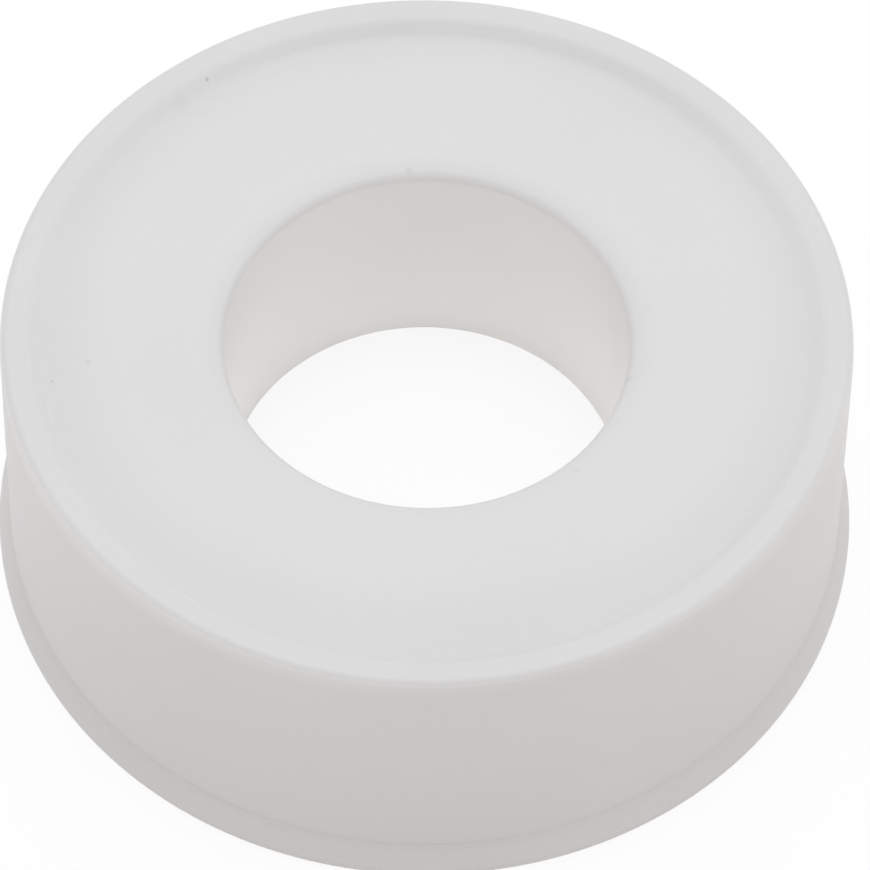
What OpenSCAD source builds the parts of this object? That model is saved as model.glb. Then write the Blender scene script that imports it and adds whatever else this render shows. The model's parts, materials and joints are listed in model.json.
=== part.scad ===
// Roll of thread seal tape: a spool with a hub and a foot flange, the tape wound on the hub,
// and a push-on cover whose wall stands on the flange and whose collar plugs into the hub.
// Millimetres. +Z is the axis of the roll, and the roll stands on z = 0.

/* [Tape] */
// Width of the tape
tape_w = 12; // [10:0.5:20]
// Thickness of the tape film
film_t = 0.075; // [0.06:0.005:0.2]
// Depth of the wound tape, from the hub outwards
winding_depth = 8.5; // [4:0.1:12]
// Turns of the loose outer wrap
wrap_turns = 1.2; // [1.05:0.05:1.5]
// Rise of the loose outer wrap over one turn
wrap_rise = 0.6; // [0.55:0.05:0.9]

/* [Cover] */
// Room between the wound tape and the cover's wall
winding_room = 1.7; // [1.6:0.1:4]
// Thickness of the cover's wall
cover_wall = 1.3; // [1:0.05:1.8]
// How much wider the wall is at its lower edge than at the top
cover_draft = 0.35; // [0:0.05:0.6]
// Thickness of the top face
face_t = 1.4; // [1:0.05:2]
// Depth of the top face below the rim
rim_step = 0.8; // [0.4:0.05:1.2]
// Width of the rim, from its outer edge to its inner edge
rim_w = 1.65; // [1.5:0.05:3]
// Width of the slope from the rim down to the face
rim_slope_w = 0.8; // [0.7:0.05:1.5]
// Rounding of the upper and lower edge of that slope
step_round = 0.7; // [0.3:0.05:0.8]
// Rounding of the rim's outer edge
rim_round = 0.35; // [0.3:0.05:0.8]
// Rounding where the top face rolls into the bore
bore_round = 1; // [0.5:0.05:1.4]
// Length of the collar below the top face
collar_l = 4.8; // [3:0.1:7]
// Thickness of the collar
collar_wall = 0.7; // [0.6:0.05:1.2]

/* [Spool] */
// Radius of the bore
bore_r = 11.9; // [8:0.05:14]
// Thickness of the hub around the collar
hub_wall = 0.7; // [0.6:0.05:1.2]
// Height of the web's underside above the standing surface
web_lift = 2.65; // [2.5:0.05:5]
// Thickness of the web
web_t = 1.55; // [1:0.05:1.8]
// Thickness of the skirt that drops from the web to the flange
skirt_wall = 1.3; // [1:0.05:1.6]
// How far the foot flange flares out beyond the cover's wall
foot_step = 0.75; // [0.4:0.05:2]
// Height of the foot flange's top, where the flare begins
foot_h = 2.65; // [2.3:0.05:2.8]
// Height of the foot's upright edge, where the flare ends
foot_edge_h = 1; // [0.9:0.05:1.6]
// Thickness of the foot flange
flange_t = 1.3; // [1:0.05:1.6]
// Width of the lip that the roll stands on
lip_w = 1.8; // [1.6:0.05:2]
// Rounding of the foot's lower outer edge
foot_round = 0.7; // [0.3:0.05:0.75]
// Rounding where the flare meets the upright edge
flare_round = 0.6; // [0.2:0.05:0.8]

/* [Fits] */
// Radial clearance of the collar in the hub
collar_fit = 0.1; // [0.05:0.01:0.1]
// Radial clearance of the wound tape on the hub
tape_fit = 0.1; // [0.05:0.01:0.1]
// Gap between the tape's edge and the web or the top face
tape_side_gap = 0.5; // [0.2:0.05:0.6]
// Radial clearance of the cover's wall round the spool's pilot
pilot_gap = 0.3; // [0.2:0.05:0.5]
// Gap along the seam between the cover's wall and the flange
seam_gap = 0.1; // [0.1:0.05:0.3]
// Gap between the collar's end and its seat in the hub
collar_gap = 0.1; // [0.1:0.05:0.4]
// Gap between the hub's end and the top face
end_gap = 0.2; // [0.1:0.05:0.4]
// Gap between the wound tape and its loose outer wrap
wrap_gap = 0.15; // [0.1:0.05:0.2]

/* [Hidden] */
$fn = 96;

// Small roundings of edges and inside corners
edge_round = 0.3;
fine_round = 0.15;
corner_round = 0.5;
// Straight pieces in one rounded corner, and stations along one turn of the wrap
arc_steps = 6;
wrap_stations = 72;

// Radii from the bore outwards
collar_out_r = bore_r + collar_wall;
socket_r = collar_out_r + collar_fit;
hub_r = socket_r + hub_wall;
winding_in_r = hub_r + tape_fit;
winding_r = winding_in_r + winding_depth;
wall_in_r = winding_r + winding_room;
cover_r = wall_in_r + cover_wall;
cover_foot_r = cover_r + cover_draft;
wall_foot_in_r = cover_foot_r - cover_wall;
rim_in_r = cover_r - rim_w;
pilot_r = wall_foot_in_r - pilot_gap;
skirt_in_r = pilot_r - skirt_wall;
foot_r = cover_foot_r + foot_step;
lip_in_r = foot_r - lip_w;

// Heights from the standing surface upwards
flange_under = foot_h - flange_t;
seam_z = foot_h + seam_gap;
web_top = web_lift + web_t;
tape_z = web_top + tape_side_gap;
face_under = tape_z + tape_w + tape_side_gap;
face_top = face_under + face_t;
roll_h = face_top + rim_step;
hub_top = face_under - end_gap;
collar_end = face_under - collar_l;
socket_floor = collar_end - collar_gap;

// The arc that rounds one corner of an outline
function unit(v) = v / norm(v);
function turn_of(a, b) = let (t = b - a) t > 180 ? t - 360 : t < -180 ? t + 360 : t;
function corner_arc(before, at, after, radius) =
    let (
        to_before = unit(before - at),
        to_after = unit(after - at),
        half = acos(to_before * to_after) / 2,
        centre = at + unit(to_before + to_after) * radius / sin(half),
        from = at + to_before * radius / tan(half) - centre,
        to = at + to_after * radius / tan(half) - centre,
        start = atan2(from.y, from.x),
        turn = turn_of(start, atan2(to.y, to.x))
    )
    [
        for (i = [0 : arc_steps])
            let (angle = start + turn * i / arc_steps)
            centre + radius * [cos(angle), sin(angle)]
    ];

// An outline whose corners are [radius from the axis, height, rounding]
function rounded(corners) =
    let (n = len(corners))
    [
        for (i = [0 : n - 1])
            let (
                c = corners[i],
                at = [c[0], c[1]],
                b = corners[(i + n - 1) % n],
                a = corners[(i + 1) % n]
            )
            each c[2] > 0 ? corner_arc([b[0], b[1]], at, [a[0], a[1]], c[2]) : [at]
    ];

module turned(corners) {
    rotate_extrude()
        polygon(rounded(corners));
}

// One moulding: the hub with the collar's socket, the web, the pilot's skirt and the foot flange
module spool() {
    color([0.86, 0.85, 0.84])
        turned([
            [bore_r, web_lift, corner_round],
            [skirt_in_r, web_lift, corner_round],
            [skirt_in_r, flange_under, edge_round],
            [lip_in_r, flange_under, edge_round],
            [lip_in_r, 0, edge_round],
            [foot_r, 0, foot_round],
            [foot_r, foot_edge_h, flare_round],
            [cover_foot_r, foot_h, fine_round],
            [pilot_r, foot_h, 0],
            [pilot_r, web_top, edge_round],
            [hub_r, web_top, edge_round],
            [hub_r, hub_top, edge_round],
            [socket_r, hub_top, fine_round],
            [socket_r, socket_floor, 0],
            [bore_r, socket_floor, 0]
        ]);
}

// One moulding: the collar, the top face with its raised rim, and the outer wall
module cover() {
    color([0.88, 0.88, 0.88])
        turned([
            [bore_r, collar_end, 0],
            [collar_out_r, collar_end, fine_round],
            [collar_out_r, face_under, 0],
            [wall_in_r, face_under, corner_round],
            [wall_foot_in_r, seam_z, edge_round],
            [cover_foot_r, seam_z, fine_round],
            [cover_r, roll_h, rim_round],
            [rim_in_r, roll_h, step_round],
            [rim_in_r - rim_slope_w, face_top, step_round],
            [bore_r, face_top, bore_round]
        ]);
}

// The tape wound on the hub, as one plain ring
module wound_tape() {
    color([0.95, 0.95, 0.94])
        turned([
            [winding_in_r, tape_z, 0],
            [winding_r, tape_z, fine_round],
            [winding_r, tape_z + tape_w, fine_round],
            [winding_in_r, tape_z + tape_w, 0]
        ]);
}

// The inner side of the outer wrap at a station: it rises steadily as it goes round
wrap_last = round(wrap_turns * wrap_stations);
function wrap_angle(i) = 360 * i / wrap_stations;
function wrap_r(i) = winding_r + wrap_gap + wrap_rise * i / wrap_stations;
function wrap_point(i, r, z) = [r * cos(wrap_angle(i)), r * sin(wrap_angle(i)), z];
function wrap_ring(i) = [
    wrap_point(i, wrap_r(i), tape_z),
    wrap_point(i, wrap_r(i) + film_t, tape_z),
    wrap_point(i, wrap_r(i) + film_t, tape_z + tape_w),
    wrap_point(i, wrap_r(i), tape_z + tape_w)
];
sides = len(wrap_ring(0));
wrap_self_gap = min([
    for (i = [0 : wrap_last - wrap_stations])
        norm(wrap_ring(i + wrap_stations)[0] - wrap_ring(i)[1])
]);
echo(outer_turn_least_gap_to_itself = wrap_self_gap);

// The loose last turn of the tape, one strip that ends in its free end
module outer_turn() {
    color([0.95, 0.95, 0.94])
        polyhedron(
            points = [for (i = [0 : wrap_last]) each wrap_ring(i)],
            faces = [
                [0, 1, 2],
                [0, 2, 3],
                for (i = [0 : wrap_last - 1], k = [0 : sides - 1])
                    let (
                        a = sides * i + k,
                        b = sides * i + (k + 1) % sides
                    )
                    each [[a, a + sides, b + sides], [a, b + sides, b]],
                [sides * wrap_last + 2, sides * wrap_last + 1, sides * wrap_last],
                [sides * wrap_last + 3, sides * wrap_last + 2, sides * wrap_last]
            ]
        );
}

spool();
cover();
wound_tape();
outer_turn();
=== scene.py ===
import json
import math
import random
from collections import namedtuple

import bmesh
import bpy
from mathutils import Matrix, Vector, noise


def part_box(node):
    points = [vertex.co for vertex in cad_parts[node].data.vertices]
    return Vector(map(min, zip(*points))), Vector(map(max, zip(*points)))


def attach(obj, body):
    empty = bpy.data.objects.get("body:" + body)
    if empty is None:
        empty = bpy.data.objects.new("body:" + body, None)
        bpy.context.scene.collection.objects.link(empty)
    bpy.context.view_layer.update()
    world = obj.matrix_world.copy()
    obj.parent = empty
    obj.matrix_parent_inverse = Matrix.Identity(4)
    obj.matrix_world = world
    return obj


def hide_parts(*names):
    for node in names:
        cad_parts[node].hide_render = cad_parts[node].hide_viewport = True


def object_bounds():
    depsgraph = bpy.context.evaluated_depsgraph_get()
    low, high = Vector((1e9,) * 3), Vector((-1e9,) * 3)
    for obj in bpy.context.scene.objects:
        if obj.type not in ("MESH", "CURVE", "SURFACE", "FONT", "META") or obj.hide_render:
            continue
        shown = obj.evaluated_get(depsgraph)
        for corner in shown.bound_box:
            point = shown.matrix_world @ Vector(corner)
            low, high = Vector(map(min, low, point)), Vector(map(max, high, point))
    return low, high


bl_info = {
    "name": "Thread Seal Tape Roll",
    "version": (1, 0, 0),
    "blender": (4, 5, 0),
    "location": "3D View > Sidebar > Tape Roll",
    "description": "Models the looks of a roll of thread seal tape around its packed frame",
    "category": "Object",
}

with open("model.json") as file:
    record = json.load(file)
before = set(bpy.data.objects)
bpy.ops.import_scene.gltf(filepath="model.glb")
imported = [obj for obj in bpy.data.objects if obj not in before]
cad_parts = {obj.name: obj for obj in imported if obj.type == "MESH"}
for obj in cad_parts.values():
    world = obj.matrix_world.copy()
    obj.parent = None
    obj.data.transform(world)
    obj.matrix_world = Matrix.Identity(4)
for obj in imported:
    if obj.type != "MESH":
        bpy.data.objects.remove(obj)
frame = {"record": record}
cad_low, cad_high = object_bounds()
cover_low, cover_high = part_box("cover")
spool_low, spool_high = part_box("spool")
winding_low, winding_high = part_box("wound_tape")
hub_bore = next(m for m in frame["record"]["mounts"] if m["name"] == "hub_bore")

MM = 0.001

# Fineness of the meshes
MOULDING_STEPS = 224
WINDING_STEPS = 144
WRAP_STEPS, WRAP_ROWS = 300, 24
MOULDING_SHARP = math.radians(40)
FILM_SHARP = math.radians(50)

# Soft sinking of the moulded walls: its depth and the size of its waves
SINK_DEPTH, SINK_SIZE = 0.03 * MM, 9.0 * MM


# Properties that a user would change

def length(name, description, default):
    return bpy.props.FloatProperty(
        name=name, description=description, default=default, min=0.0, precision=5, unit="LENGTH"
    )


def offset(name, description, default):
    return bpy.props.FloatProperty(
        name=name, description=description, default=default, precision=5, unit="LENGTH"
    )


def angle(name, description, degrees):
    return bpy.props.FloatProperty(
        name=name, description=description, default=math.radians(degrees), subtype="ANGLE"
    )


def number(name, description, default, high=100000.0):
    return bpy.props.FloatProperty(
        name=name, description=description, default=default, min=0.0, max=high, precision=4
    )


def tint(name, description, default):
    return bpy.props.FloatVectorProperty(
        name=name, description=description, default=default, size=3, min=0.0, max=1.0, subtype="COLOR"
    )


class TapeRollCover(bpy.types.PropertyGroup):
    """Sizes of the cover."""

    draft: length("Draft", "How much wider the wall is at its lower edge", 0.35 * MM)
    wall: length("Wall", "Thickness of the outer wall", 1.3 * MM)
    face: length("Face", "Thickness of the top face", 1.4 * MM)
    rim_step: length("Rim step", "Depth of the top face below the rim", 0.8 * MM)
    rim_width: length("Rim width", "Width of the rim from its outer to its inner edge", 1.65 * MM)
    rim_slope: length("Rim slope", "Width of the slope from the rim to the face", 0.8 * MM)
    rim_fall: length("Rim fall", "Fall of the rim's top towards its inner edge", 0.2 * MM)
    rim_extra: length("Rim extra", "Height that the rim's outer rounding takes off again", 0.107 * MM)
    face_dip: length("Face dip", "Dip of the top face along the rim", 0.25 * MM)
    rim_round: length("Rim rounding", "Rounding of the rim's outer edge", 0.55 * MM)
    step_round: length("Step rounding", "Rounding of both edges of the rim's slope", 0.8 * MM)
    lip_width: length("Lip width", "How far the face's lip reaches outwards from the bore", 1.1 * MM)
    lip_depth: length("Lip depth", "How far the face's lip reaches down into the bore", 0.55 * MM)
    lip_inner: length("Lip inner rounding", "Rounding where the lip meets the bore", 0.7 * MM)
    lip_outer: length("Lip outer rounding", "Rounding where the lip meets the face", 3.0 * MM)
    collar: length("Collar", "Length of the collar below the face", 4.8 * MM)
    collar_wall: length("Collar wall", "Thickness of the collar", 0.7 * MM)
    edge_round: length("Edge rounding", "Rounding of the inside edges and corners", 0.3 * MM)
    seam_round: length("Seam rounding", "Rounding of the wall's lower edge, along the seam", 0.04 * MM)
    wall_drop: length("Wall drop", "How much lower the wall stands than in the frame", 0.098 * MM)
    collar_drop: length("Collar drop", "How much lower the collar ends than in the frame", 0.098 * MM)


class TapeRollSpool(bpy.types.PropertyGroup):
    """Sizes of the spool."""

    bore: length("Bore", "Radius of the bore", hub_bore["dims"]["r_mm"] * MM)
    hub_wall: length("Hub wall", "Thickness of the hub around the collar", 0.7 * MM)
    collar_fit: length("Collar fit", "Gap between the collar and the hub around it", 0.1 * MM)
    web_lift: length("Web lift", "Height of the web's underside above the floor", 2.65 * MM)
    web: length("Web", "Thickness of the web", 1.55 * MM)
    skirt: length("Skirt", "Thickness of the skirt under the web", 1.3 * MM)
    pilot_gap: length("Pilot gap", "Gap between the skirt and the cover's wall", 0.3 * MM)
    seam: length("Seam", "Gap between the cover's wall and the flange", 0.1 * MM)
    flange: length("Flange", "Thickness of the foot flange", 1.3 * MM)
    lip: length("Lip", "Width of the lip that the roll stands on", 1.8 * MM)
    edge_height: length("Edge height", "Height of the foot's upright edge below the flare", 1.0 * MM)
    foot_round: length("Foot rounding", "Rounding of the foot's lower edge", 0.7 * MM)
    flare_round: length("Flare rounding", "Rounding where the flare meets the upright edge", 0.6 * MM)
    web_round: length("Web rounding", "Rounding of the web's underside at the bore and the skirt", 0.5 * MM)
    edge_round: length("Edge rounding", "Rounding of the other edges", 0.3 * MM)


class TapeRollTape(bpy.types.PropertyGroup):
    """Sizes of the tape."""

    film: length("Film", "Thickness of the film", 0.075 * MM)
    ply: length("Ply", "Width of one visible group of turns on the winding's side", 0.17 * MM)
    unevenness: length("Unevenness", "How far the turns' edges lie out of line", 0.14 * MM)
    fit: length("Fit", "Gap between the winding and the hub", 0.1 * MM)
    wrap_gap: length("Wrap gap", "Gap between the winding and its loose outer turn", 0.15 * MM)
    wrap_rise: length("Wrap rise", "Rise of the loose outer turn over one turn", 0.6 * MM)
    wrap_turns: number("Wrap turns", "Turns of the loose outer wrap", 1.2)
    wrinkle: length("Wrinkle", "Depth of the wrinkles in the loose outer turn", 0.06 * MM)


class TapeRollFinish(bpy.types.PropertyGroup):
    """Colours of the plastic and the film, and the light and shade painted on the plastic."""

    cover: tint("Cover", "Plastic of the cover", (0.79, 0.785, 0.785))
    spool: tint("Spool", "Plastic of the spool", (0.79, 0.785, 0.782))
    shade: number("Shade", "How much darker the cloudy patches of the plastic are", 0.02)
    # Painted shade and light: the cover's wall darker at the seam and lighter at the rim
    wall_low: number("Wall low", "Tone of the cover's wall at the seam, as a share of its colour", 0.965)
    wall_high: number("Wall high", "Tone of the cover's wall at the rim, as a share of its colour", 1.04)
    # Painted shade: the foot's edge darker than the rest of the spool
    foot: number("Foot", "Tone of the foot's edge, as a share of the spool's colour", 0.945)
    # Painted light: how far the plastic is lightened below its rounded edges and on the rim's slope
    glow: number("Glow", "How far the plastic lightens below its rounded edges", 0.70)
    # Painted shade on the rim and on the face's edge
    hollow: number("Hollow", "How much darker the rim is, where no tape lies behind it", 0.045)
    tape: tint("Tape", "Film of the tape", (0.90, 0.90, 0.895))
    # Also paints the shade along the seam between the cover's wall and the foot
    dirt_and_seam_shade: tint("Dirt and seam shade", "Specks and handling marks", (0.20, 0.18, 0.17))
    roughness: number("Roughness", "Roughness of the plastic", 0.42, high=1.0)


class TapeRollStage(bpy.types.PropertyGroup):
    """Camera, floor and light."""

    elevation: angle("Elevation", "Height of the camera above the horizon", 54.784)
    roll: angle("Roll", "Turn of the camera about its view", 0.873)
    distance: length("Distance", "From the camera to the plane of the rim's middle", 300.0 * MM)
    shift_x: offset("Picture offset X", "Sideways place of the rim's middle in the view", -0.468 * MM)
    shift_y: offset("Picture offset Y", "Upward place of the rim's middle in the view", 6.458 * MM)
    focal: number("Focal length", "Focal length of the lens in millimetres", 212.14)
    floor: tint("Floor", "Colour of the floor, as it throws light on the roll", (0.77, 0.735, 0.715))
    floor_shade: number("Floor shade", "Share of light and shadow seen on the floor", 0.11)
    floor_white: number("Floor white", "Plain white seen on the floor besides", 0.90)
    room: tint("Room", "Colour of the light from the room", (1.0, 0.988, 0.988))
    room_strength: number("Room strength", "Strength of the light from the room", 0.726)
    top_power: number("Top light", "Power of the soft box overhead, in watts", 1.03)
    top_tint: tint("Top tint", "Colour of the soft box overhead", (0.909, 0.964, 1.0))
    left_power: number("Left light", "Power of the soft box on the left, in watts", 0.227)
    right_power: number("Right light", "Power of the soft box on the right, in watts", 0.372)
    side_tint: tint("Side tint", "Colour of the soft boxes around the roll", (1.0, 0.98, 0.92))
    bore_power: number("Bore light", "Power of the light panel under the bore, in watts", 0.00097)
    bore_tint: tint("Bore tint", "Colour of the light panel under the bore", (1.0, 0.985, 0.94))
    bore_width: length("Bore panel", "Width of the light panel under the bore", 18.5 * MM)


# Meshes

def piece(name, bm):
    """Turns a bmesh into an object at the origin."""
    mesh = bpy.data.meshes.new(name)
    bm.to_mesh(mesh)
    bm.free()
    made = bpy.data.objects.new(name, mesh)
    bpy.context.scene.collection.objects.link(made)
    return made


def dress(made, body, node, material):
    """Gives a piece its material and ties it to the frame."""
    made.data.materials.append(material)
    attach(made, body)
    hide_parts(node)


def rounding_reach(before, at, after, rounding):
    """How far along both sides of a corner an arc of that radius begins."""
    opening = (before - at).angle(after - at)
    return rounding / math.tan(opening / 2)


def turned_outline(corners, segments, longest):
    """A closed outline in the XZ plane from (radius, height, rounding) corners, in short edges."""
    bm = bmesh.new()
    places = [Vector((radius, 0.0, height)) for radius, height, _ in corners]
    verts = [bm.verts.new(place) for place in places]
    bm.faces.new(verts)
    for i, (vert, (_, _, rounding)) in enumerate(zip(verts, corners)):
        if rounding:
            reach = rounding_reach(places[i - 1], places[i], places[(i + 1) % len(places)], rounding)
            bmesh.ops.bevel(
                bm, geom=[vert], offset=reach, offset_type="OFFSET", segments=segments,
                profile=0.5, affect="VERTICES", material=-1,
            )
    bmesh.ops.delete(bm, geom=bm.faces[:], context="FACES_ONLY")
    for edge in [e for e in bm.edges if e.calc_length() > longest]:
        cuts = int(edge.calc_length() / longest)
        bmesh.ops.subdivide_edges(bm, edges=[edge], cuts=cuts)
    return bm


def spin_round(bm, steps):
    """Spins an outline once round the Z axis into a closed skin."""
    bmesh.ops.spin(
        bm, geom=bm.verts[:] + bm.edges[:], cent=(0, 0, 0), axis=(0, 0, 1), dvec=(0, 0, 0),
        angle=math.tau, steps=steps, space=Matrix.Identity(4), use_merge=True,
    )
    bmesh.ops.recalc_face_normals(bm, faces=bm.faces[:])
    for face in bm.faces:
        face.smooth = True


def sink_walls(bm):
    """Draws the upright walls in by a soft uneven amount, as cooled plastic is."""
    bm.normal_update()
    inward = [Vector((-vert.normal.x, -vert.normal.y, 0.0)) for vert in bm.verts]
    for vert, way in zip(bm.verts, inward):
        wave = 0.5 + 0.5 * noise.noise(vert.co / SINK_SIZE)
        vert.co += way * SINK_DEPTH * min(max(wave, 0.0), 1.0)


def moulding(name, corners, segments, longest):
    """One turned plastic piece from the corners of its outline."""
    bm = turned_outline(corners, segments, longest)
    spin_round(bm, MOULDING_STEPS)
    sink_walls(bm)
    made = piece(name, bm)
    made.data.set_sharp_from_angle(angle=MOULDING_SHARP)
    return made


def hub_radii(scene):
    """The radii of the collar's socket, of the hub and of the winding's inside."""
    spool = scene.tape_roll_spool
    socket_r = spool.bore + scene.tape_roll_cover.collar_wall + spool.collar_fit
    hub_r = socket_r + spool.hub_wall
    return socket_r, hub_r, hub_r + scene.tape_roll_tape.fit


# Shader nodes

class Value:
    """A shader socket that takes part in Python arithmetic."""

    def __init__(self, graph, socket):
        self.graph = graph
        self.socket = socket

    def __add__(self, other):
        return self.graph.math("ADD", self, other)

    def __sub__(self, other):
        return self.graph.math("SUBTRACT", self, other)

    def __rsub__(self, other):
        return self.graph.math("SUBTRACT", other, self)

    def __mul__(self, other):
        return self.graph.math("MULTIPLY", self, other)

    __radd__ = __add__
    __rmul__ = __mul__


class Graph:
    """A node tree that is written as expressions."""

    def __init__(self, owner):
        owner.use_nodes = True
        self.tree = owner.node_tree
        self.tree.nodes.clear()

    def add(self, kind, settings=None, inputs=None, output=0):
        """One node: its settings first, then the values or links of its sockets."""
        made = self.tree.nodes.new(kind)
        for key, value in (settings or {}).items():
            setattr(made, key, value)
        for key, value in (inputs or {}).items():
            if isinstance(value, Value):
                self.tree.links.new(value.socket, made.inputs[key])
            else:
                made.inputs[key].default_value = value
        return Value(self, made.outputs[output]) if made.outputs else None

    def math(self, operation, *terms):
        return self.add("ShaderNodeMath", {"operation": operation}, dict(enumerate(terms)))

    def between(self, value, low, high):
        """0 at low, 1 at high, smooth between them."""
        ends = {"Value": value, "From Min": low, "From Max": high}
        return self.add("ShaderNodeMapRange", {"interpolation_type": "SMOOTHSTEP"}, ends)

    def blend(self, share, first, second):
        """A colour that goes from first to second."""
        ends = {0: share, 6: first, 7: second}
        return self.add("ShaderNodeMix", {"data_type": "RGBA", "clamp_factor": True}, ends, 2)

    def cloud(self, place, scale, detail):
        return self.add("ShaderNodeTexNoise", None, {"Vector": place, "Scale": scale, "Detail": detail})

    def vector(self, x, y, z):
        return self.add("ShaderNodeCombineXYZ", None, {0: x, 1: y, 2: z})

    def object_place(self):
        return self.add("ShaderNodeTexCoord", None, None, "Object")

    def axes(self, place):
        """X, Y and Z of a place, each as a value."""
        split = self.add("ShaderNodeSeparateXYZ", None, {0: place})
        return [Value(self, socket) for socket in split.socket.node.outputs]

    def bump(self, height, strength, distance):
        return self.add("ShaderNodeBump", None, {
            "Height": height, "Strength": strength, "Distance": distance,
        })

    def plain_sight(self):
        """1 where the camera looks, straight or by a mirror image, and 0 for light that is thrown on."""
        kinds = ["Is Camera Ray", "Is Glossy Ray", "Is Transmission Ray"]
        seen, glossy, through = (self.add("ShaderNodeLightPath", None, None, kind) for kind in kinds)
        return self.math("MINIMUM", seen + glossy + through, 1.0)


def rgba(colour, factor=1.0):
    return (*(c * factor for c in colour), 1.0)


WHITE = rgba((1.0, 1.0, 1.0))

# Where a moulding's tones lie: the radius and height of its handled edge and the painted glow below it, the
# radius, the heights and the painted shading of its outer wall, the middle of the rim's slope, which gets
# painted light, and the seam, which gets painted shade
Zones = namedtuple(
    "Zones",
    "edge_radius edge_height glow wall_radius wall_low wall_high low_tone high_tone slope_mid seam_height",
)


def speck_mask(g, x, y, specks):
    """Small round specks seen from above, each (radius, angle in degrees, size, strength)."""
    plan = g.vector(x, y, 0.0)
    mask = 0.0
    for radius, turn, size, strength in specks:
        spot = (radius * math.cos(math.radians(turn)), radius * math.sin(math.radians(turn)), 0.0)
        away = g.add("ShaderNodeVectorMath", {"operation": "DISTANCE"}, {0: plan, 1: spot}, "Value")
        near = (1.0 - g.between(away, 0.25 * size, size)) * strength
        mask = g.math("MAXIMUM", mask, near)
    return mask


def stray_specks(g, place):
    """A faint speck in a few of the cells that fill the plastic."""
    cells = {"Vector": place, "Scale": 170.0}
    dots = g.add("ShaderNodeTexVoronoi", None, cells, "Distance")
    chance = g.add("ShaderNodeTexVoronoi", None, cells, "Color")
    return (1.0 - g.between(dots, 0.008, 0.020)) * g.between(chance, 0.88, 0.89) * 0.25


def wall_painted_shading(g, finish, colour, zones, radius, z):
    """The plastic's colour, with the outer wall's painted shade and light from its foot up, and painted
    shade along its seam.
    """
    outside = g.between(radius, zones.wall_radius - 0.20 * MM, zones.wall_radius - 0.05 * MM)
    # Painted shade and light, changing from the wall's foot to its top
    rise = g.between(z, zones.wall_low, zones.wall_high)
    upright = g.blend(rise, rgba(colour, zones.low_tone), rgba(colour, zones.high_tone))
    tone = g.blend(outside, rgba(colour), upright)
    # Painted shade along the seam, in the dirt colour
    seam = outside * g.between(g.math("ABSOLUTE", z - zones.seam_height), 0.7 * MM, 0.1 * MM)
    return g.blend(seam * 0.035, tone, rgba(finish.dirt_and_seam_shade)), outside


def painted_edge_glow(g, zones, radius, z, outside):
    """Painted light, for light that has entered the plastic and comes out again: below the rim and on its
    slope.
    """
    below_rim = outside * g.between(z, zones.edge_height - 1.9 * MM, zones.edge_height - 0.5 * MM)
    reach = 0.8 * MM
    outwards = g.between(radius, zones.slope_mid - reach, zones.slope_mid)
    inwards = g.between(radius, zones.slope_mid + reach, zones.slope_mid)
    upper = g.between(z, zones.edge_height - 1.2 * MM, zones.edge_height - 0.9 * MM)
    slope = outwards * inwards * upper * 0.40
    return g.math("MAXIMUM", below_rim, slope) * zones.glow


def painted_rim_shade(g, zones, x, y, z, radius):
    """Painted shade on the outer face and the rim, which no tape backs, centred a little towards the rear
    of the roll.
    """
    rearward = y - 1.5 * MM
    off_centre = g.math("SQRT", x * x + rearward * rearward)
    upper = g.between(z, zones.edge_height - 1.8 * MM, zones.edge_height - 1.2 * MM)
    face = g.between(radius, zones.slope_mid + 0.45 * MM, zones.slope_mid - 0.35 * MM)
    return g.between(off_centre, 18.2 * MM, 22.2 * MM) * upper * (0.55 + 0.45 * face)


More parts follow.
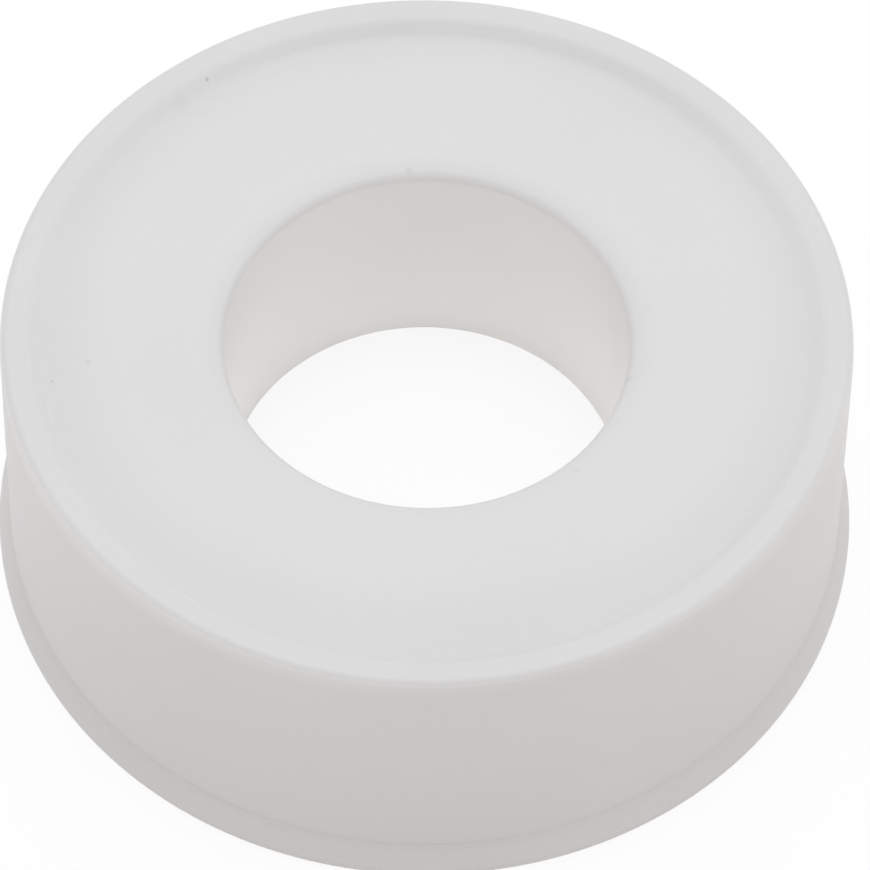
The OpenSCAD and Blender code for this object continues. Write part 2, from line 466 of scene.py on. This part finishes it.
def moulded_plastic(name, finish, colour, specks, zones):
    """Satin white plastic: cloudy tone, fine grain, specks, hairlines, a handled outer edge, and painted
    light and shade.
    """
    material = bpy.data.materials.new(name)
    g = Graph(material)
    place = g.object_place()
    x, y, z = g.axes(place)
    radius = g.math("SQRT", x * x + y * y)
    patches = g.cloud(place, scale=70.0, detail=3.0)
    drift = g.cloud(place, scale=22.0, detail=1.0)
    grain = g.cloud(place, scale=2600.0, detail=3.0)
    drawn_out = g.add("ShaderNodeMapping", None, {
        "Vector": place, "Rotation": (0.0, 0.0, 0.6), "Scale": (90.0, 2600.0, 1500.0),
    })
    hairlines = g.between(g.cloud(drawn_out, scale=1.0, detail=2.0), 0.66, 0.74)
    marks = g.math("MAXIMUM", speck_mask(g, x, y, specks), stray_specks(g, place))
    rim = g.between(radius, zones.edge_radius - 1.2 * MM, zones.edge_radius)
    rim = rim * g.between(z, zones.edge_height - 1.4 * MM, zones.edge_height)
    handled = rim * g.between(g.cloud(place, scale=420.0, detail=4.0), 0.45, 0.75)

    # lit is the colour of the painted light; warm is a random warm tint
    lit, warm = (0.95, 0.94, 0.93), (colour[0], colour[1] * 0.992, colour[2] * 0.982)
    tone, outside = wall_painted_shading(g, finish, colour, zones, radius, z)
    # Painted light below the rim and on the rim's slope
    tone = g.blend(painted_edge_glow(g, zones, radius, z, outside), tone, rgba(lit))
    tone = g.blend(g.between(drift, 0.35, 0.65) * 0.5, tone, rgba(warm))
    # Painted shade on the rim and the face's edge, in a cool dark, centred a little towards the rear
    tone = g.blend(painted_rim_shade(g, zones, x, y, z, radius) * finish.hollow, tone, rgba((0.1, 0.1, 0.12)))
    tone = g.blend(g.between(patches, 0.3, 0.75) * finish.shade, tone, rgba((0.1, 0.1, 0.1)))
    tone = g.blend(g.between(grain, 0.3, 0.7) * 0.012, tone, rgba((0.2, 0.2, 0.2)))
    tone = g.blend(handled * 0.012, tone, rgba(finish.dirt_and_seam_shade))
    tone = g.blend(marks, tone, rgba(finish.dirt_and_seam_shade))

    gloss = finish.roughness + (patches - 0.5) * 0.10 + hairlines * 0.10
    gloss = gloss + handled * 0.12 + (grain - 0.5) * 0.06
    tool_pitch = 0.55 * MM
    tool_lines = g.math("SINE", radius * (math.tau / tool_pitch))
    relief = grain * 0.35 + patches * 0.9 + tool_lines * 0.03 - hairlines * 0.12
    shader = g.add("ShaderNodeBsdfPrincipled", None, {
        "Base Color": tone, "Roughness": gloss, "Normal": g.bump(relief, 0.25, 0.03 * MM),
        "IOR": 1.49, "Specular IOR Level": 0.45,
    })
    g.add("ShaderNodeOutputMaterial", None, {"Surface": shader})
    return material


def tape_film(name, finish):
    """Silky white film: streaks along the tape, cross wrinkles, and fine lines on the turns' edges."""
    material = bpy.data.materials.new(name)
    g = Graph(material)
    x, y, z = g.axes(g.object_place())
    radius = g.math("SQRT", x * x + y * y)
    turn = g.math("ARCTAN2", y, x)
    streaks = g.cloud(g.vector(turn * 0.6, z * 900.0, radius * 300.0), scale=3.0, detail=3.0)
    wrinkles = g.cloud(g.vector(turn * 60.0, z * 60.0, radius * 100.0), scale=1.6, detail=3.0)
    layers = g.cloud(g.vector(radius * 9000.0, turn * 0.5, 0.0), scale=1.0, detail=2.0)

    tone = g.blend(g.between(streaks, 0.3, 0.7) * 0.03, rgba(finish.tape), rgba((0.55, 0.55, 0.56)))
    tone = g.blend(g.between(layers, 0.5, 0.75) * 0.05, tone, rgba((0.45, 0.45, 0.46)))
    gloss = 0.50 + (streaks - 0.5) * 0.15 + (wrinkles - 0.5) * 0.1
    relief = streaks * 0.5 + wrinkles * 0.8
    shader = g.add("ShaderNodeBsdfPrincipled", None, {
        "Base Color": tone, "Roughness": gloss, "Normal": g.bump(relief, 0.22, 0.04 * MM),
        "IOR": 1.38, "Sheen Weight": 0.15, "Sheen Roughness": 0.4,
    })
    g.add("ShaderNodeOutputMaterial", None, {"Surface": shader})
    return material


# Operators, one for each piece and one for the stage

class TAPEROLL_OT_cover(bpy.types.Operator):
    """Turn the cover: collar, top face, raised rim and drafted wall in one moulding"""

    bl_idname = "tape_roll.cover"
    bl_label = "Cover"

    def execute(self, context):
        c = context.scene.tape_roll_cover
        finish = context.scene.tape_roll_finish
        top, foot = cover_high.z, cover_low.z - c.wall_drop
        foot_r = cover_high.x
        rim_r = foot_r - c.draft
        rim_in_r = rim_r - c.rim_width
        face_top = top - c.rim_step
        face_under = face_top - c.face
        collar_in = context.scene.tape_roll_spool.bore
        collar_out = collar_in + c.collar_wall
        collar_end = face_under - c.collar - c.collar_drop
        made = moulding("cover_moulding", [
            (collar_in, collar_end, 0.0),
            (collar_out, collar_end, c.edge_round / 2),
            (collar_out, face_under, 0.0),
            (rim_r - c.wall, face_under, c.edge_round),
            (foot_r - c.wall, foot, c.edge_round),
            (foot_r, foot, c.seam_round),
            (rim_r, top + c.rim_extra, c.rim_round),
            (rim_in_r, top - c.rim_fall, c.step_round),
            (rim_in_r - c.rim_slope, face_top - c.face_dip, c.step_round),
            (collar_in + c.lip_width, face_top, c.lip_outer),
            (collar_in, face_top - c.lip_depth, c.lip_inner),
        ], segments=10, longest=0.6 * MM)
        specks = [
            (23.05 * MM, 126.1, 0.14 * MM, 0.36),
            (22.1 * MM, -170.2, 0.14 * MM, 0.24),
            (19.9 * MM, -173.1, 0.28 * MM, 0.10),
            (12.4 * MM, 95.9, 0.30 * MM, 0.10),
            (12.15 * MM, -13.5, 0.35 * MM, 0.10),
            (13.0 * MM, -47.5, 0.24 * MM, 0.06),
            (22.7 * MM, 131.5, 0.70 * MM, 0.04),
        ]
        # Painted light and shade: the wall lighter at the rim and darker at the seam, with painted glow
        # below the rim and on its slope
        zones = Zones(
            edge_radius=rim_r, edge_height=top, glow=finish.glow,
            wall_radius=rim_r, wall_low=foot, wall_high=top,
            low_tone=finish.wall_low, high_tone=finish.wall_high,
            slope_mid=rim_in_r - c.rim_slope / 2, seam_height=foot,
        )
        plastic = moulded_plastic("cover_plastic", finish, finish.cover, specks, zones)
        dress(made, "cover", "cover", plastic)
        return {"FINISHED"}


class TAPEROLL_OT_spool(bpy.types.Operator):
    """Turn the spool: hub with the collar's socket, web, skirt and foot flange in one moulding"""

    bl_idname = "tape_roll.spool"
    bl_label = "Spool"

    def execute(self, context):
        s = context.scene.tape_roll_spool
        c = context.scene.tape_roll_cover
        finish = context.scene.tape_roll_finish
        socket_r, hub_r, _ = hub_radii(context.scene)
        wall_r = cover_high.x
        pilot_r = wall_r - c.wall - s.pilot_gap
        skirt_in = pilot_r - s.skirt
        foot_r = spool_high.x
        lip_in = foot_r - s.lip
        floor, hub_top = spool_low.z, spool_high.z
        flange_top = cover_low.z - s.seam
        flange_under = flange_top - s.flange
        web_under = floor + s.web_lift
        web_top = web_under + s.web
        face_under = cover_high.z - c.rim_step - c.face
        socket_floor = face_under - c.collar - s.seam
        made = moulding("spool_moulding", [
            (s.bore, web_under, s.web_round),
            (skirt_in, web_under, s.web_round),
            (skirt_in, flange_under, s.edge_round),
            (lip_in, flange_under, s.edge_round),
            (lip_in, floor, s.edge_round),
            (foot_r, floor, s.foot_round),
            (foot_r, floor + s.edge_height, s.flare_round),
            (wall_r, flange_top, c.seam_round),
            (pilot_r, flange_top, 0.0),
            (pilot_r, web_top, s.edge_round),
            (hub_r, web_top, s.edge_round),
            (hub_r, hub_top, s.edge_round),
            (socket_r, hub_top, s.edge_round / 2),
            (socket_r, socket_floor, 0.0),
            (s.bore, socket_floor, 0.0),
        ], segments=8, longest=0.7 * MM)
        # Painted shade: the foot's edge darker throughout, with painted shade along the seam and no painted
        # glow
        zones = Zones(
            edge_radius=foot_r, edge_height=flange_top, glow=0.0,
            wall_radius=wall_r, wall_low=floor, wall_high=flange_top,
            low_tone=finish.foot, high_tone=finish.foot,
            slope_mid=wall_r, seam_height=flange_top,
        )
        plastic = moulded_plastic("spool_plastic", finish, finish.spool, [], zones)
        dress(made, "spool", "spool", plastic)
        return {"FINISHED"}


class TAPEROLL_OT_winding(bpy.types.Operator):
    """Turn the wound tape, with the edges of its turns a little out of line"""

    bl_idname = "tape_roll.winding"
    bl_label = "Wound tape"

    def execute(self, context):
        t = context.scene.tape_roll_tape
        _, _, inner = hub_radii(context.scene)
        outer = winding_high.x
        low, high = winding_low.z, winding_high.z
        chance = random.Random(12)
        plies = int((outer - inner) / t.ply)
        ply_share = 0.8
        under, over = [], []
        for i in range(plies):
            ends = [inner + (outer - inner) * step / plies for step in (i, i + ply_share)]
            dip, drop = chance.uniform(0.0, t.unevenness), chance.uniform(0.0, t.unevenness)
            under += [(r, low + dip, 0.0) for r in ends]
            over += [(r, high - drop, 0.0) for r in ends]
        bm = turned_outline(under + over[::-1], segments=1, longest=1.5 * MM)
        spin_round(bm, WINDING_STEPS)
        made = piece("wound_film", bm)
        made.data.set_sharp_from_angle(angle=FILM_SHARP)
        film = tape_film("tape_film", context.scene.tape_roll_finish)
        dress(made, "tape", "wound_tape", film)
        return {"FINISHED"}


class TAPEROLL_OT_outer_turn(bpy.types.Operator):
    """Wrap the loose last turn of the tape, with its free end"""

    bl_idname = "tape_roll.outer_turn"
    bl_label = "Outer turn"

    def execute(self, context):
        t = context.scene.tape_roll_tape
        bm = self.strip(t)
        self.loosen(bm, t)
        bmesh.ops.recalc_face_normals(bm, faces=bm.faces[:])
        bmesh.ops.solidify(bm, geom=bm.faces[:], thickness=t.film)
        for face in bm.faces:
            face.smooth = True
        made = piece("outer_film", bm)
        made.data.set_sharp_from_angle(angle=FILM_SHARP)
        film = bpy.data.objects["wound_film"].active_material
        dress(made, "tape", "outer_turn", film)
        return {"FINISHED"}

    def strip(self, t):
        """The film's inner side as a plain band, column after column round the winding."""
        start_r = winding_high.x + t.wrap_gap
        bm = bmesh.new()
        ends = [bm.verts.new((start_r, 0.0, z)) for z in (winding_low.z, winding_high.z)]
        bmesh.ops.subdivide_edges(bm, edges=[bm.edges.new(ends)], cuts=WRAP_ROWS - 1)
        bmesh.ops.spin(
            bm, geom=bm.verts[:] + bm.edges[:], cent=(0, 0, 0), axis=(0, 0, 1), dvec=(0, 0, 0),
            angle=math.tau * t.wrap_turns, steps=WRAP_STEPS, space=Matrix.Identity(4),
        )
        return bm

    def loosen(self, bm, t):
        """Lifts the band into a spiral with soft wrinkles, and tears its end."""
        low, high = winding_low.z, winding_high.z
        torn_share = 0.015
        for i, vert in enumerate(bm.verts):
            share = (i // (WRAP_ROWS + 1)) / WRAP_STEPS
            height = (vert.co.z - low) / (high - low)
            soft = math.sin(math.pi * min(share * 12.0, 1.0) / 2)
            crease = noise.noise(Vector((share * 46.0, height * 2.2, 4.0)))
            rise = t.wrap_rise * t.wrap_turns * share + t.wrinkle * soft * (crease - 0.4)
            vert.co += Vector((vert.co.x, vert.co.y, 0.0)).normalized() * rise
            torn = max(0.0, share - (1.0 - torn_share)) / torn_share
            ragged = noise.noise(Vector((height * 9.0, 7.0, 1.0)))
            slant = torn * (0.035 * (height - 0.5) + 0.012 * ragged)
            vert.co = Matrix.Rotation(slant, 3, "Z") @ vert.co


def soft_box(name, place, aim, width, depth, power, colour):
    """An area lamp that faces a point."""
    lamp = bpy.data.lights.new(name, "AREA")
    lamp.shape = "RECTANGLE"
    lamp.size, lamp.size_y = width, depth
    lamp.energy = power
    lamp.color = colour
    made = bpy.data.objects.new(name, lamp)
    made.location = place
    made.rotation_mode = "QUATERNION"
    made.rotation_quaternion = (Vector(aim) - Vector(place)).to_track_quat("-Z", "Y")
    made.visible_camera = False
    bpy.context.scene.collection.objects.link(made)
    return made


class TAPEROLL_OT_stage(bpy.types.Operator):
    """Set the floor, the soft light and the camera"""

    bl_idname = "tape_roll.stage"
    bl_label = "Stage"

    def execute(self, context):
        stage = context.scene.tape_roll_stage
        self.floor(stage)
        self.room(context.scene, stage)
        self.lamps(stage)
        self.camera(context.scene, stage)
        context.scene.view_settings.view_transform = "Standard"
        return {"FINISHED"}

    def floor(self, stage):
        """A wide floor that looks plain white, and throws a warmer light on the roll."""
        bm = bmesh.new()
        bmesh.ops.create_grid(bm, x_segments=1, y_segments=1, size=3.0)
        bmesh.ops.translate(bm, vec=(0.0, 0.0, cad_low.z), verts=bm.verts[:])
        made = piece("floor", bm)
        material = bpy.data.materials.new("floor_paint")
        g = Graph(material)
        shade = g.add("ShaderNodeBsdfDiffuse", None, {"Color": rgba((stage.floor_shade,) * 3)})
        white = g.add("ShaderNodeEmission", None, {"Color": WHITE, "Strength": stage.floor_white})
        shown = g.add("ShaderNodeAddShader", None, {0: shade, 1: white})
        bounce = g.add("ShaderNodeBsdfDiffuse", None, {"Color": rgba(stage.floor)})
        mixed = g.add("ShaderNodeMixShader", None, {0: g.plain_sight(), 1: bounce, 2: shown})
        g.add("ShaderNodeOutputMaterial", None, {"Surface": mixed})
        made.data.materials.append(material)

    def room(self, scene, stage):
        """Even light from all around, behind a plain white backdrop."""
        scene.world = bpy.data.worlds.new("studio")
        g = Graph(scene.world)
        even = {"Color": rgba(stage.room), "Strength": stage.room_strength}
        lit = g.add("ShaderNodeBackground", None, even)
        white = g.add("ShaderNodeBackground", None, {"Color": WHITE, "Strength": 1.0})
        mixed = g.add("ShaderNodeMixShader", None, {0: g.plain_sight(), 1: lit, 2: white})
        g.add("ShaderNodeOutputWorld", None, {"Surface": mixed})

    def lamps(self, stage):
        """Soft boxes overhead and on both sides, and a small panel under the bore."""
        middle = (0.0, 0.0, cad_high.z / 2)
        soft_box("top_box", (0.0, 0.22, 0.66), middle, 0.5, 0.75, stage.top_power, stage.top_tint)
        soft_box("left_box", (-0.7, 0.0, 0.35), middle, 0.6, 0.5, stage.left_power, stage.side_tint)
        soft_box("right_box", (0.7, 0.0, 0.35), middle, 0.6, 0.5, stage.right_power, stage.side_tint)
        panel = soft_box("bore_panel", (0.0, 0.0, 0.3 * MM), middle, stage.bore_width, stage.bore_width,
                         stage.bore_power, stage.bore_tint)
        panel.data.shape = "DISK"

    def camera(self, scene, stage):
        """A long lens from above the front, aimed by the rim's place in the view."""
        lens = bpy.data.cameras.new("camera")
        lens.lens = stage.focal
        lens.sensor_width = 36.0
        lens.clip_start, lens.clip_end = 0.01, 10.0
        made = bpy.data.objects.new("camera", lens)
        level = Matrix.Rotation(math.pi / 2 - stage.elevation, 3, "X")
        turned = level @ Matrix.Rotation(stage.roll, 3, "Z")
        right, up, back = (turned.col[i] for i in range(3))
        rim_middle = Vector((0.0, 0.0, cad_high.z))
        aside = right * stage.shift_x + up * stage.shift_y
        made.rotation_euler = turned.to_euler()
        made.location = rim_middle - aside + back * stage.distance
        scene.collection.objects.link(made)
        scene.camera = made


class TAPEROLL_PT_sidebar(bpy.types.Panel):
    """Lists the roll's pieces and their sizes"""

    bl_idname = "TAPEROLL_PT_sidebar"
    bl_label = "Tape Roll"
    bl_space_type = "VIEW_3D"
    bl_region_type = "UI"
    bl_category = "Tape Roll"

    def draw(self, context):
        for operator in OPERATORS:
            self.layout.operator(operator.bl_idname)
        for group, name in GROUPS.items():
            box = self.layout.box()
            box.label(text=group.__doc__)
            for key in group.__annotations__:
                box.prop(getattr(context.scene, name), key)


GROUPS = {
    TapeRollCover: "tape_roll_cover",
    TapeRollSpool: "tape_roll_spool",
    TapeRollTape: "tape_roll_tape",
    TapeRollFinish: "tape_roll_finish",
    TapeRollStage: "tape_roll_stage",
}
OPERATORS = [
    TAPEROLL_OT_cover,
    TAPEROLL_OT_spool,
    TAPEROLL_OT_winding,
    TAPEROLL_OT_outer_turn,
    TAPEROLL_OT_stage,
]


def register():
    for cls in [*GROUPS, *OPERATORS, TAPEROLL_PT_sidebar]:
        bpy.utils.register_class(cls)
    for group, name in GROUPS.items():
        setattr(bpy.types.Scene, name, bpy.props.PointerProperty(type=group))


def unregister():
    for name in GROUPS.values():
        delattr(bpy.types.Scene, name)
    for cls in reversed([*GROUPS, *OPERATORS, TAPEROLL_PT_sidebar]):
        bpy.utils.unregister_class(cls)


def main():
    register()
    bpy.ops.tape_roll.cover()
    bpy.ops.tape_roll.spool()
    bpy.ops.tape_roll.winding()
    bpy.ops.tape_roll.outer_turn()
    bpy.ops.tape_roll.stage()


if __name__ == "__main__":
    main()
